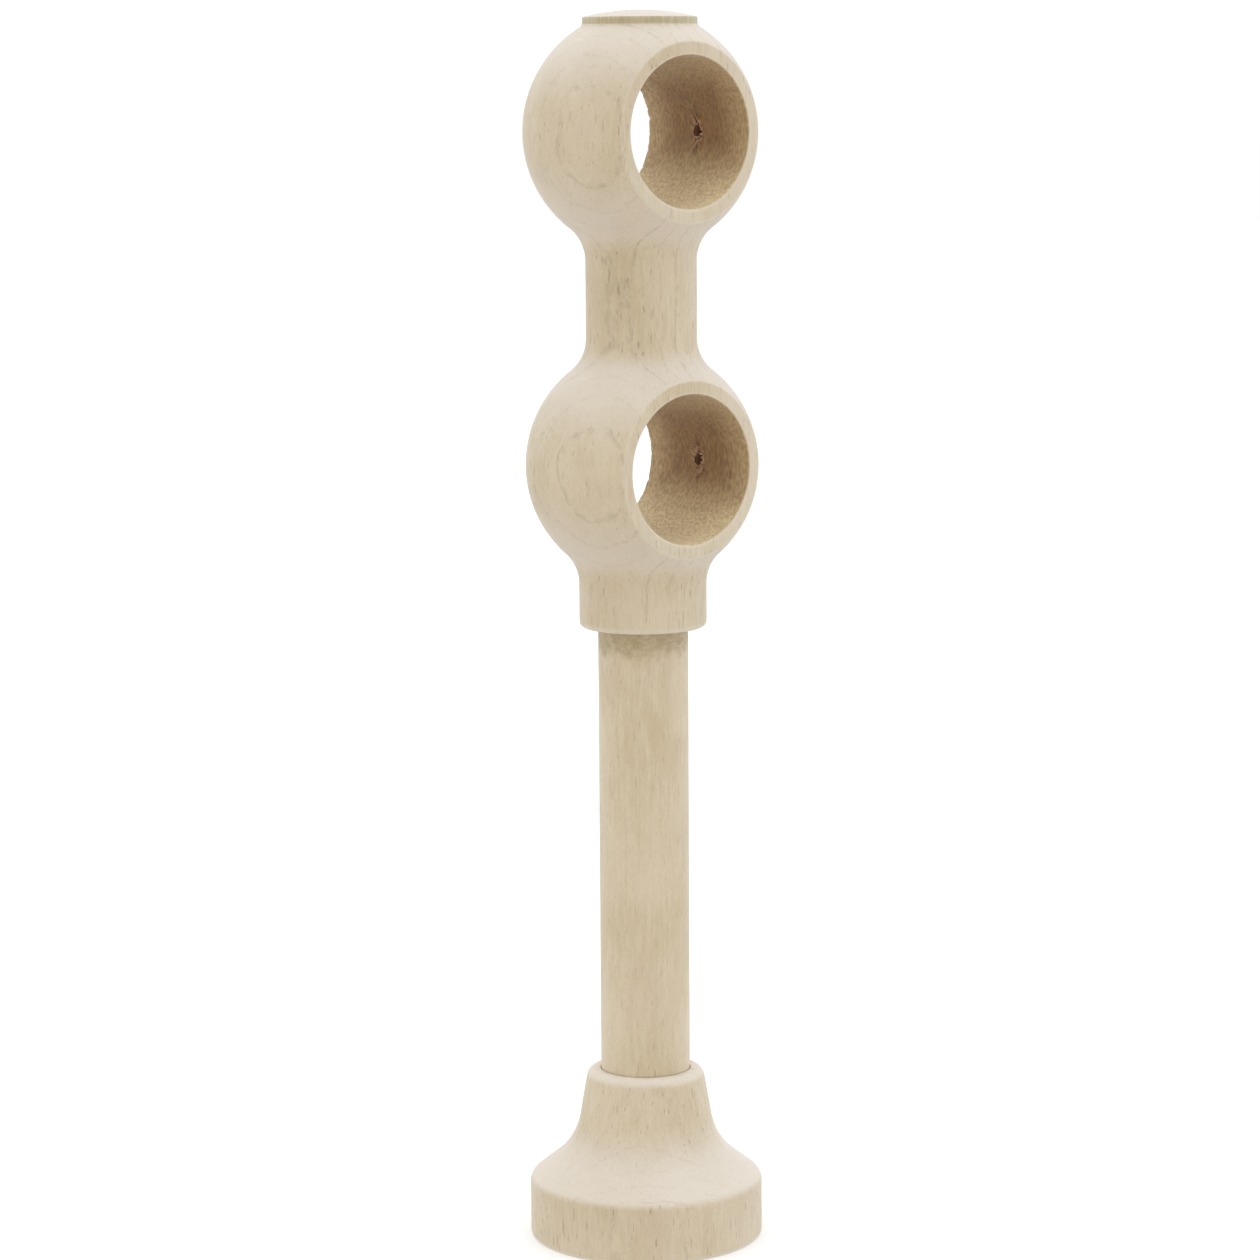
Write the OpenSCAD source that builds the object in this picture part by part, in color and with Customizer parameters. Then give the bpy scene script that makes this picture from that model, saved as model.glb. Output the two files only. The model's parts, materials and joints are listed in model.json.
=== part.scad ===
// Double curtain-pole bracket, turned in raw beech.
// A round wall rose carries a plain dowel stem. The stem carries a turned head
// with two ball-shaped eyes, one above the other, and a pole lies in each eye.
// Millimetres. The origin is the middle of the rose's flat underside, +Z runs
// out along the stem, and both pole bores run along X.

/* [Pole eyes] */
// Radius of the bore that each curtain pole lies in
pole_bore_r = 14.7; // [14.2:0.1:15.2]
// Largest radius of each turned ball, measured from the stem's axis
ball_r = 23.1; // [22:0.1:24]
// How far beyond the stem's axis the ball's outline is centred
ball_arc_shift = 0.7; // [0:0.1:2]
// Thickness of each eye between its two flat faces
eye_thick = 31; // [28:0.5:33]
// Height of the lower pole's axis above the wall face
lower_eye_z = 156.7; // [150:0.1:165]
// Distance from the lower pole's axis to the upper one's
eye_spacing = 65.3; // [62:0.1:75]

/* [Neck and collar] */
// Radius of the neck between the two balls
neck_r = 11; // [9:0.1:12]
// Radius of the collar that the stem is glued into
collar_r = 12.7; // [12:0.1:14]
// Radius of the coves where a ball runs into the neck or the collar
cove_r = 8.2; // [6:0.1:10]
// Height of the collar's lower end above the wall face
collar_bottom_z = 124.3; // [110:0.1:127]
// Rounding of the collar's lower edge
collar_edge_r = 1.2; // [0.5:0.1:2]

/* [Top button] */
// Radius of the low turned button on top of the head
button_r = 11.3; // [9:0.1:12]
// Height of the button's straight side above the ball's edge
button_side = 1.7; // [1:0.1:3]
// Height of the button's crown
button_crown = 1.4; // [0.8:0.1:2.5]

/* [Stem] */
// Radius of the dowel stem
stem_r = 9; // [8.5:0.1:10]
// Depth of the stem's blind socket in the collar
socket_depth = 14; // [10:0.5:14]
// Chamfer on the stem's two hidden ends
stem_chamfer = 0.8; // [0.3:0.1:1.5]

/* [Wall rose] */
// Radius of the rose's foot
rose_r = 23.5; // [22:0.1:26]
// Height of the foot's straight side
foot_side = 10.8; // [8:0.1:12]
// Rounding of the foot's lower edge
foot_edge_r = 0.8; // [0.4:0.1:2]
// Rounding of the shoulder on top of the foot's side
shoulder_r = 2.1; // [1:0.1:3]
// How far the shoulder turns in before the flare starts, in degrees
flare_angle = 51.5; // [48:0.5:56]
// Taper of the rose's throat, in degrees from the stem's axis
throat_taper = 9.9; // [6:0.1:12]
// Radius of the throat just under its top lip
throat_r = 11.9; // [11.5:0.1:13]
// Radius of the long cove between the flare and the throat
rose_cove_r = 14.2; // [8:0.1:16]
// Overall height of the rose
rose_h = 34.25; // [33:0.25:38]
// Rounding of the rose's top lip
lip_r = 2; // [1:0.1:2.5]

/* [Wall fixing] */
// Outer radius of the threaded insert in the stem's end
insert_r = 5; // [4.5:0.1:5.5]
// Length of the threaded insert
insert_len = 13; // [10:0.5:16]
// Radius of the insert's thread, at its crests (tapped for an M6 hanger bolt)
insert_bore_r = 2.5; // [2:0.1:3]
// Total depth of the bolt hole from the wall face
bolt_hole_depth = 30; // [20:1:40]

/* [Locking screws] */
// Thread radius of a locking screw
screw_r = 1.25; // [1:0.05:1.75]
// Length of a locking screw under its head
screw_len = 8; // [7:0.5:9]
// Length of the screw's pointed tip
screw_tip = 2.2; // [1.5:0.1:3]
// Radius of the screw's pan head
screw_head_r = 2.4; // [2.3:0.1:3]
// Height of the screw's pan head
screw_head_h = 1.6; // [1.4:0.1:2.2]
// Depth of the recess that the screw's head is driven into
head_recess = 2.5; // [1.5:0.1:3]
// How far a screw's tip stands back in its hole from the pole bore
tip_setback = 2.2; // [1.5:0.1:3]

/* [Hidden] */
$fn = 128;

glue_gap = 0.05;         // clearance all round a glued or screwed-in fit
end_gap = 0.3;           // free space at the blind end of the stem's socket
eps = 0.1;               // overshoot of a cutting tool

upper_eye_z = lower_eye_z + eye_spacing;
ball_arc_r = ball_r + ball_arc_shift;

// Height above a ball's middle at which its outline reaches the radius r
function ball_rise(r) = sqrt(pow(ball_arc_r, 2) - pow(r + ball_arc_shift, 2));

button_base_z = upper_eye_z + ball_rise(button_r);
button_top_z = button_base_z + button_side + button_crown;
crown_arc_r = (pow(button_r, 2) + pow(button_crown, 2)) / (2 * button_crown);

stem_top_z = collar_bottom_z + socket_depth;
bolt_pilot_r = 3.2;      // clearance for the bolt's end beyond the insert
insert_slot_w = 1.2;     // screwdriver slot across the insert's end
insert_slot_d = 1.5;
insert_edge = 0.4;       // chamfer round the insert's outer edges

recess_r = screw_head_r + 0.8;
screw_flat_r = 0.15;     // blunt end of the screw's tip
head_band = 0.7;         // straight side of the pan head
recess_arm_w = 0.8;      // the cross recess in the pan head
recess_arm_len = 2.8;
recess_arm_d = 0.9;
screw_head_y = pole_bore_r + tip_setback + screw_len;
head_dome_h = screw_head_h - head_band;
head_dome_r = (pow(screw_head_r, 2) + pow(head_dome_h, 2)) / (2 * head_dome_h);

// ---- Outlines, drawn with the radius along X and the height along Y ----

// A solid of the radius r from z0 up to z1
module post_2d(r, z0, z1) {
    translate([0, z0]) square([r, z1 - z0]);
}

// The same with its lower edge rounded to the radius e
module round_foot_2d(r, z0, z1, e) {
    post_2d(r - e, z0, z1);
    post_2d(r, z0 + e, z1);
    translate([r - e, z0 + e]) circle(r = e);
}

// One ball, slightly taller than it is wide. It stops where its outline has
// come in to the button's radius, so that it stays under the button's crown.
module ball_2d(z) {
    reach = ball_rise(button_r);
    intersection() {
        translate([-ball_arc_shift, z]) circle(r = ball_arc_r);
        post_2d(ball_r, z - reach, z + reach);
    }
}

// The hollow curve between a ball and a straight post of the radius r, above
// the ball (side = 1) or below it (side = -1), tangent to both
module ball_cove_2d(z, side, r) {
    centre_r = r + cove_r;
    reach = ball_arc_r + cove_r;
    centre_rise = sqrt(pow(reach, 2) - pow(centre_r + ball_arc_shift, 2));
    touch_r = (centre_r + ball_arc_shift) * ball_arc_r / reach - ball_arc_shift;
    touch_rise = centre_rise * ball_arc_r / reach;
    difference() {
        post_2d(
            touch_r,
            z + (side > 0 ? touch_rise : -centre_rise),
            z + (side > 0 ? centre_rise : -touch_rise)
        );
        translate([centre_r, z + side * centre_rise]) circle(r = cove_r);
    }
}

// A low dome of the height h over a base of the radius r at the height z
module dome_2d(r, h, arc_r, z) {
    intersection() {
        translate([0, z + h - arc_r]) circle(r = arc_r);
        post_2d(r, z, z + h);
    }
}

module head_2d() {
    ball_2d(lower_eye_z);
    ball_2d(upper_eye_z);
    post_2d(neck_r, lower_eye_z, upper_eye_z);
    ball_cove_2d(lower_eye_z, 1, neck_r);
    ball_cove_2d(upper_eye_z, -1, neck_r);
    round_foot_2d(collar_r, collar_bottom_z, lower_eye_z, collar_edge_r);
    ball_cove_2d(lower_eye_z, -1, collar_r);
    post_2d(button_r, upper_eye_z, button_base_z + button_side);
    dome_2d(button_r, button_crown, crown_arc_r, button_base_z + button_side);
}

// The rose: a straight-sided foot, a rounded shoulder, a straight flare, a long
// cove and a slightly tapered throat with a rounded lip
shoulder_end = [
    rose_r - shoulder_r * (1 - cos(flare_angle)),
    foot_side + shoulder_r * sin(flare_angle),
];
throat_end = [throat_r, rose_h - lip_r * (1 - sin(throat_taper))];
flare_dir = [-sin(flare_angle), cos(flare_angle)];
throat_dir = [-sin(throat_taper), cos(throat_taper)];

// Distance along the flare from the shoulder to where the throat's line meets it
turn = flare_angle - throat_taper;
span = throat_end - shoulder_end;
flare_len = (span[0] * throat_dir[1] - span[1] * throat_dir[0]) / -sin(turn);
corner = shoulder_end + flare_len * flare_dir;
cove_len = rose_cove_r * tan(turn / 2);
cove_start = corner - cove_len * flare_dir;
cove_end = corner + cove_len * throat_dir;
cove_centre = cove_start + rose_cove_r * [cos(flare_angle), sin(flare_angle)];

module rose_2d() {
    round_foot_2d(rose_r, 0, foot_side, foot_edge_r);
    translate([rose_r - shoulder_r, foot_side]) circle(r = shoulder_r);
    polygon([
        [0, foot_side],
        [rose_r - shoulder_r, foot_side],
        shoulder_end,
        corner,
        throat_end,
        [0, throat_end[1]],
    ]);
    difference() {
        polygon([cove_start, cove_end, corner]);
        translate(cove_centre) circle(r = rose_cove_r);
    }
    translate(throat_end - lip_r * [cos(throat_taper), sin(throat_taper)]) circle(r = lip_r);
    post_2d(throat_r - lip_r * cos(throat_taper), throat_end[1] - lip_r, rose_h);
}

// A locking screw's outline, with its tip at the height 0 and its head on top
module screw_2d() {
    polygon([
        [0, 0],
        [screw_flat_r, 0],
        [screw_r, screw_tip],
        [screw_r, screw_len],
        [0, screw_len],
    ]);
    post_2d(screw_head_r, screw_len, screw_len + head_band);
    dome_2d(screw_head_r, head_dome_h, head_dome_r, screw_len + head_band);
}

// ---- Shared cuts ----

// Lays what is drawn along +Z down along +Y at the height z
module towards_y(z) {
    translate([0, 0, z]) rotate([-90, 0, 0]) children();
}

// What one eye loses: the pole bore, the screw's hole and the head's recess
module eye_cuts(z) {
    translate([-eye_thick / 2 - eps, 0, z])
        rotate([0, 90, 0])
            cylinder(r = pole_bore_r, h = eye_thick + 2 * eps);
    towards_y(z) {
        cylinder(r = screw_r + glue_gap, h = ball_r + eps);
        translate([0, 0, ball_r - head_recess])
            cylinder(r = recess_r, h = head_recess + eps);
    }
}

// ---- The pieces ----

module double_eye_head() {
    color("wheat")
        difference() {
            intersection() {
                rotate_extrude() head_2d();
                translate([-eye_thick / 2, -ball_r - eps, collar_bottom_z - eps])
                    cube([eye_thick, 2 * (ball_r + eps), button_top_z - collar_bottom_z + 2 * eps]);
            }
            for (z = [lower_eye_z, upper_eye_z]) eye_cuts(z);
            translate([0, 0, collar_bottom_z - eps])
                cylinder(r = stem_r + glue_gap, h = socket_depth + end_gap + eps);
        }
}

module stem_dowel() {
    color("burlywood")
        difference() {
            union() {
                cylinder(r1 = stem_r - stem_chamfer, r2 = stem_r, h = stem_chamfer);
                translate([0, 0, stem_chamfer])
                    cylinder(r = stem_r, h = stem_top_z - 2 * stem_chamfer);
                translate([0, 0, stem_top_z - stem_chamfer])
                    cylinder(r1 = stem_r, r2 = stem_r - stem_chamfer, h = stem_chamfer);
            }
            translate([0, 0, -eps]) cylinder(r = insert_r + glue_gap, h = insert_len + end_gap + eps);
            cylinder(r = bolt_pilot_r, h = bolt_hole_depth);
        }
}

module wall_rose() {
    color("tan")
        difference() {
            rotate_extrude() rose_2d();
            translate([0, 0, -eps]) cylinder(r = stem_r + glue_gap, h = rose_h + 2 * eps);
        }
}

module threaded_insert() {
    color("goldenrod")
        difference() {
            union() {
                cylinder(r1 = insert_r - insert_edge, r2 = insert_r, h = insert_edge);
                translate([0, 0, insert_edge])
                    cylinder(r = insert_r, h = insert_len - 2 * insert_edge);
                translate([0, 0, insert_len - insert_edge])
                    cylinder(r1 = insert_r, r2 = insert_r - insert_edge, h = insert_edge);
            }
            translate([0, 0, -eps]) cylinder(r = insert_bore_r, h = insert_len + 2 * eps);
            translate([-insert_r, -insert_slot_w / 2, -eps])
                cube([2 * insert_r, insert_slot_w, insert_slot_d + eps]);
        }
}

// A pan-head wood screw, driven through an eye's wall towards the pole
module lock_screw(z) {
    color("silver")
        towards_y(z)
            translate([0, 0, screw_head_y - screw_len])
                difference() {
                    rotate_extrude() screw_2d();
                    for (a = [0, 90])
                        rotate([0, 0, a])
                            translate([
                                -recess_arm_len / 2,
                                -recess_arm_w / 2,
                                screw_len + screw_head_h - recess_arm_d,
                            ])
                                cube([recess_arm_len, recess_arm_w, recess_arm_d + eps]);
                }
}

module lock_screw_upper() {
    lock_screw(upper_eye_z);
}

module lock_screw_lower() {
    lock_screw(lower_eye_z);
}

double_eye_head();
stem_dowel();
wall_rose();
threaded_insert();
lock_screw_upper();
lock_screw_lower();
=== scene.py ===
"""Double curtain-pole bracket turned in raw beech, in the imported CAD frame.

The head, the stem and the rose are rebuilt as dense turned meshes, and the threaded
insert and the two locking screws get real threads. Lengths are worked out in
millimetres and become metres when a mesh is made.
"""

import json
import math
import random

import bmesh
import bpy
from mathutils import Matrix, Vector, noise


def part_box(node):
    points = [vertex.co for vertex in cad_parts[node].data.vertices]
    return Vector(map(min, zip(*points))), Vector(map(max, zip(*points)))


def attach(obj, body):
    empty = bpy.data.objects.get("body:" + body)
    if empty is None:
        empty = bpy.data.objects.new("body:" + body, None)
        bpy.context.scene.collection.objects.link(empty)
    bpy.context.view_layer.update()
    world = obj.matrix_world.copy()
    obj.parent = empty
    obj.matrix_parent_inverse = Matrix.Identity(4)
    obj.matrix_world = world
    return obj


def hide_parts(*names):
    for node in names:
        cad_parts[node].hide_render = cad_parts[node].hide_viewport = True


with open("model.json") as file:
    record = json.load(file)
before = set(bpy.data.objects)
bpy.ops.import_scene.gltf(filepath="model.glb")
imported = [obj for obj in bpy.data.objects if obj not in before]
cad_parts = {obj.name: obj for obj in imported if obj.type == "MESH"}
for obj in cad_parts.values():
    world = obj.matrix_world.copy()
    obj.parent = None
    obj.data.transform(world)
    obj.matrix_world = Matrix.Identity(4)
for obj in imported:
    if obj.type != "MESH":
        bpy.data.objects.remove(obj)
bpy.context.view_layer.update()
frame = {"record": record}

MM = 0.001
PI = math.pi
TURN = 2 * math.pi

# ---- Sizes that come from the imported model, in millimetres ----

MOUNTS = {mount["name"]: mount for mount in frame["record"]["mounts"]}
BORE_R = MOUNTS["upper_pole_eye"]["dims"]["r_mm"]
HALF_THICK = MOUNTS["upper_pole_eye"]["dims"]["length_mm"] / 2
EYES = {
    "upper": MOUNTS["upper_pole_eye"]["pos_m"][2] / MM,
    "lower": MOUNTS["lower_pole_eye"]["pos_m"][2] / MM,
}
INSERT_BORE_R = MOUNTS["wall_bolt"]["dims"]["r_mm"]


def reach(node, axis):
    """Lowest and highest coordinate of a CAD node along one axis, in millimetres."""
    low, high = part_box(node)
    return round(low[axis] / MM, 2), round(high[axis] / MM, 2)


COLLAR_Z, TOP_Z = reach("double_eye_head", 2)
STEM_R = reach("stem_dowel", 0)[1]
STEM_TOP_Z = reach("stem_dowel", 2)[1]
ROSE_R = reach("wall_rose", 0)[1]
ROSE_H = reach("wall_rose", 2)[1]
INSERT_R = reach("threaded_insert", 0)[1]
INSERT_LEN = reach("threaded_insert", 2)[1]
SCREW_TIP_Y = reach("lock_screw_upper", 1)[0]
SCREW_HEAD_R = reach("lock_screw_upper", 0)[1]

# ---- Sizes that the CAD source has too, in millimetres ----

BALL_R = 23.1
BALL_SHIFT = 0.7
BALL_ARC_R = BALL_R + BALL_SHIFT
NECK_R = 11.0
COLLAR_R = 12.7
COLLAR_EDGE = 1.2
COVE_R = 8.2
BUTTON_R = 11.3
BUTTON_CROWN = 1.4

FOOT_SIDE = 10.8
FOOT_EDGE = 0.8
SHOULDER_R = 2.1
FLARE_ANGLE = math.radians(51.5)
THROAT_TAPER = math.radians(9.9)
THROAT_R = 11.9
ROSE_COVE_R = 14.2
LIP_R = 2.0

GLUE_GAP = 0.05
END_GAP = 0.3
SOCKET_R = STEM_R + GLUE_GAP
SOCKET_CEILING = STEM_TOP_Z + END_GAP
STEM_CHAMFER = 0.8
BOLT_HOLE_R = 3.2
BOLT_HOLE_DEPTH = 30.0
INSERT_SLOT = (1.2, 1.5)

SCREW_R = 1.25
SCREW_LEN = 8.0
SCREW_POINT = 2.2
SCREW_HEAD_BAND = 0.7
CROSS_REACH = 1.4
CROSS_DEPTH = 0.9
RECESS_R = 3.2
RECESS_DEPTH = 2.5

# ---- Finer edges, tears and threads, in millimetres ----

BUTTON_EDGE = 0.3
BUTTON_FOOT = 0.3
MOUTH_EDGE = 0.18
EYE_FILLET = 0.8
RIM_FILLET = 0.45
TEAR_DEPTH = 0.45
TEAR_REACH = 0.5
BOLT_HOLE_POINT = 1.2

INSERT_PITCH = 2.4
INSERT_RIDGE = 0.72
INSERT_CHAMFER = 0.5
INNER_PITCH = 1.0
INNER_RIDGE = 0.45

SCREW_HOLE_R = 1.3
SCREW_TIP_R = 0.12
SCREW_PITCH = 1.1
SCREW_ROOT = 0.68
SCREW_RUN_OUT = 0.6
SCREW_HEAD_H = 1.55
SCREW_HEAD_FOOT = 0.15
SCREW_HEAD_INSET = 0.01
CROSS_HALF_WIDTH = 0.35

# ---- How finely the meshes are divided ----

RIM_STEPS = 120
SIDE_STEPS = 72
FULL_STEPS = 192
STEM_STEPS = 96
BORE_STEPS = 34
INSERT_STEPS = 80
SCREW_STEPS = 40

# ---- Wear in millimetres, and the angle in degrees beyond which an edge stays sharp ----

SURFACE_WEAR = 0.05
WOOD_CREASE = 38
METAL_CREASE = 50
FIBRE_CREASE = 60


# ---- Outlines: lists of (radius, height) ----

def arc(centre, radius, start, end, step):
    """Points along an arc from one angle to another, no further apart than step."""
    count = max(2, math.ceil(abs(end - start) * radius / step))
    angles = [start + (end - start) * i / count for i in range(count + 1)]
    return [(centre[0] + radius * math.cos(a), centre[1] + radius * math.sin(a)) for a in angles]


def line(start, end, step):
    """Points along a straight stretch, no further apart than step."""
    count = max(1, math.ceil(math.dist(start, end) / step))
    return [tuple(a + (b - a) * i / count for a, b in zip(start, end)) for i in range(count + 1)]


def joined(*stretches):
    """One outline from several stretches, without the points that they share."""
    points = []
    for stretch in stretches:
        for point in stretch:
            if not points or math.dist(points[-1], point[:2]) > 1e-4:
                points.append(tuple(point[:2]))
    return points


class Ball:
    """The outline of one ball with the coves that run into it, and its two flats."""

    def __init__(self, middle, below_r, above_r=None):
        self.middle = middle
        self.low_z, low = self.add_cove(below_r, -1)
        if above_r:
            self.high_z, high = self.add_cove(above_r, 1)
        else:
            high = math.acos((BUTTON_R + BUTTON_FOOT + BALL_SHIFT) / BALL_ARC_R)
        below = ((below_r + COVE_R, self.low_z), COVE_R, PI, PI - low, -1)
        self.parts = [below, ((-BALL_SHIFT, middle), BALL_ARC_R, -low, high, 1)]
        if above_r:
            self.parts.append(((above_r + COVE_R, self.high_z), COVE_R, PI + high, PI, -1))
        self.length = sum(abs(part[3] - part[2]) * part[1] for part in self.parts)

    def add_cove(self, post_r, way):
        """Height of a cove's centre, and the angle at which the cove meets the ball."""
        out = post_r + COVE_R + BALL_SHIFT
        rise = math.sqrt((BALL_ARC_R + COVE_R) ** 2 - out ** 2)
        return self.middle + way * rise, math.atan2(rise, out)

    def at(self, u):
        """Radius, height and normal of the outline at the distance u along it."""
        for part in self.parts:
            centre, radius, start, end, side = part
            length = abs(end - start) * radius
            if u <= length or part is self.parts[-1]:
                break
            u -= length
        a = start + (end - start) * min(1.0, u / length)
        c, s = math.cos(a), math.sin(a)
        return centre[0] + radius * c, centre[1] + radius * s, side * c, side * s

    def inner(self, u):
        """The same place, moved into the wood by the radius of the flats' edge."""
        r, z, out_r, out_z = self.at(u)
        return r - EYE_FILLET * out_r, z - EYE_FILLET * out_z

    def rim_angle(self, u):
        """Angle of a flat's edge round the eye, counted from straight down."""
        r, z = self.inner(u)
        flat = HALF_THICK - EYE_FILLET
        return math.atan2(math.sqrt(max(0.0, r * r - flat * flat)), self.middle - z)

    def rows(self, step):
        """Full turns below the flats, the turns that the flats cut, full turns above."""
        flat = HALF_THICK - EYE_FILLET
        end = self.length
        widest = turning_point(0, end, lambda u: self.inner(u)[1] > self.middle)
        first = turning_point(0, widest, lambda u: self.inner(u)[0] > flat)
        last = turning_point(widest, end, lambda u: self.inner(u)[0] < flat)
        cuts = [first]
        for k in range(1, RIM_STEPS):
            wanted = PI * k / RIM_STEPS
            cuts.append(turning_point(first, last, lambda u: self.rim_angle(u) > wanted))
        cuts.append(last)
        below = max(2, math.ceil(first / step))
        above = max(2, math.ceil((end - last) / step))
        low = [self.at(first * i / below) for i in range(below + 1)]
        high = [self.at(last + (end - last) * i / above) for i in range(above + 1)]
        return low, [self.at(u) for u in cuts], high


def turning_point(low, high, test):
    """Where a test turns from false to true between low and high."""
    for _ in range(60):
        middle = (low + high) / 2
        if test(middle):
            high = middle
        else:
            low = middle
    return (low + high) / 2


# ---- Mesh helpers ----

class Skin:
    """Grids of points in millimetres, welded into one closed mesh."""

    def __init__(self):
        self.mesh = bmesh.new()

    def grid(self, rows, ring=False):
        made = [[self.mesh.verts.new(Vector(p) * MM) for p in row] for row in rows]
        for lower, upper in zip(made, made[1:]):
            count = len(lower)
            for j in range(count if ring else count - 1):
                k = (j + 1) % count
                self.mesh.faces.new((lower[j], lower[k], upper[k], upper[j]))

    def turn(self, outline, columns):
        """A full turn of an outline about Z."""
        ways = [(math.cos(TURN * j / columns), math.sin(TURN * j / columns)) for j in range(columns)]
        self.grid([[(r * c, r * s, z) for c, s in ways] for r, z in outline], ring=True)

    def finish(self, name):
        bmesh.ops.remove_doubles(self.mesh, verts=self.mesh.verts, dist=5e-7)
        bmesh.ops.recalc_face_normals(self.mesh, faces=self.mesh.faces)
        data = bpy.data.meshes.new(name)
        self.mesh.to_mesh(data)
        self.mesh.free()
        piece = bpy.data.objects.new(name, data)
        bpy.context.collection.objects.link(piece)
        return piece


def cut(piece, cutters):
    """Takes the cutters away from the piece, in its own mesh."""
    for cutter in cutters:
        modifier = piece.modifiers.new("cut", "BOOLEAN")
        modifier.object = cutter
        modifier.operation = "DIFFERENCE"
        modifier.solver = "EXACT"
    bpy.context.view_layer.update()
    depsgraph = bpy.context.evaluated_depsgraph_get()
    made = bpy.data.meshes.new_from_object(piece.evaluated_get(depsgraph))
    piece.modifiers.clear()
    whole = piece.data
    piece.data = made
    bpy.data.meshes.remove(whole)
    made.name = piece.name
    for cutter in cutters:
        data = cutter.data
        bpy.data.objects.remove(cutter)
        bpy.data.meshes.remove(data)


def wear_surface(piece, depth):
    """Moves every point a little into the wood, so that no surface is perfectly true."""
    normals = [vert.normal.copy() for vert in piece.data.vertices]
    places = [vert.co / MM for vert in piece.data.vertices]
    moved = []
    for place, normal in zip(places, normals):
        broad = noise.noise(place * 0.23 + Vector((3, 7, 1)))
        fine = noise.noise(Vector((place.x * 1.1, place.y * 1.1, place.z * 0.5)))
        moved.extend((place - normal * depth * (0.5 + 0.35 * broad + 0.25 * fine)) * MM)
    piece.data.vertices.foreach_set("co", moved)
    piece.data.update()


def soften(piece, angle):
    """Smooth shading, with a crease wherever two faces meet at more than the angle."""
    piece.data.polygons.foreach_set("use_smooth", [True] * len(piece.data.polygons))
    piece.data.set_sharp_from_angle(angle=math.radians(angle))


def mark_edges(piece, gain, passes):
    """Stores how far the surface turns out (above 0.5) or in (below 0.5) at each point."""
    mesh = bmesh.new()
    mesh.from_mesh(piece.data)
    bend = [0.0] * len(mesh.verts)
    for edge in mesh.edges:
        if edge.is_manifold:
            sharp = edge.calc_face_angle_signed(0.0) * gain * MM / max(edge.calc_length(), 1e-5)
            for vert in edge.verts:
                bend[vert.index] += max(-1.0, min(1.0, sharp)) / len(vert.link_edges)
    for _ in range(passes):
        near = [[edge.other_vert(vert).index for edge in vert.link_edges] for vert in mesh.verts]
        bend = [(own + sum(bend[k] for k in ring)) / (1 + len(ring)) for own, ring in zip(bend, near)]
    mesh.free()
    layer = piece.data.attributes.new("edge", "FLOAT", "POINT")
    layer.data.foreach_set("value", [max(0.0, min(1.0, 0.5 + value)) for value in bend])


def dress(piece, body, slot, material, *nodes):
    """Gives a piece its finish and its body, and hides the CAD nodes that it stands for."""
    piece.data.materials.clear()
    piece.data.materials.append(material)
    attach(piece, body)
    if nodes:
        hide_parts(*nodes)


def along_y(piece, z):
    """Lays a piece made along Z down along +Y at the height z, in its own mesh."""
    piece.data.transform(Matrix.Translation((0, 0, z * MM)) @ Matrix.Rotation(-PI / 2, 4, "X"))
    return piece


def bar(name, radius, start, end, columns):
    """A closed round bar along Z, used as a cutting tool."""
    skin = Skin()
    skin.turn([(0, start), (radius, start), (radius, end), (0, end)], columns)
    return skin.finish(name)


def block(name, low, high):
    """A closed box, used as a cutting tool."""
    skin = Skin()
    corners = [(low[0], low[1]), (high[0], low[1]), (high[0], high[1]), (low[0], high[1])]
    middle = ((low[0] + high[0]) / 2, (low[1] + high[1]) / 2)
    rows = [[(*middle, low[2])] * 4]
    rows += [[(x, y, z) for x, y in corners] for z in (low[2], high[2])]
    rows += [[(*middle, high[2])] * 4]
    skin.grid(rows, ring=True)
    return skin.finish(name)


# ---- The head ----

def collar_outline():
    """From the middle of the socket's ceiling round to the collar's straight side."""
    edge = (COLLAR_R - COLLAR_EDGE, COLLAR_Z + COLLAR_EDGE)
    return joined(
        line((0, SOCKET_CEILING), (SOCKET_R, SOCKET_CEILING), 1.5),
        line((SOCKET_R, SOCKET_CEILING), (SOCKET_R, COLLAR_Z + MOUTH_EDGE), 1.5),
        line((SOCKET_R, COLLAR_Z + MOUTH_EDGE), (SOCKET_R + MOUTH_EDGE, COLLAR_Z), 0.2),
        line((SOCKET_R + MOUTH_EDGE, COLLAR_Z), (edge[0], COLLAR_Z), 0.5),
        arc(edge, COLLAR_EDGE, -PI / 2, 0, 0.2),
    )


def button_outline():
    """From the ball's edge up the button's side to the middle of its crown."""
    ball_z = EYES["upper"] + math.sqrt(BALL_ARC_R ** 2 - (BUTTON_R + BUTTON_FOOT + BALL_SHIFT) ** 2)
    crown_r = (BUTTON_R ** 2 + BUTTON_CROWN ** 2) / (2 * BUTTON_CROWN)
    slope = math.asin((BUTTON_R - BUTTON_EDGE) / (crown_r - BUTTON_EDGE))
    edge_z = TOP_Z - crown_r + (crown_r - BUTTON_EDGE) * math.cos(slope)
    return joined(
        line((BUTTON_R + BUTTON_FOOT, ball_z), (BUTTON_R, ball_z + 0.5), 0.15),
        line((BUTTON_R, ball_z + 0.5), (BUTTON_R, edge_z), 0.3),
        arc((BUTTON_R - BUTTON_EDGE, edge_z), BUTTON_EDGE, 0, PI / 2 - slope, 0.08),
        arc((0, TOP_Z - crown_r), crown_r, PI / 2 - slope, PI / 2, 0.7),
    )


def half_turn(row, side, opening=0.0):
    """Points of one outline row round one side, from one flat's opening to the other."""
    points = []
    for j in range(SIDE_STEPS + 1):
        a = opening + (PI - 2 * opening) * j / SIDE_STEPS
        points.append((row[0] * math.cos(a), side * row[0] * math.sin(a), row[1]))
    return points


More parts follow.
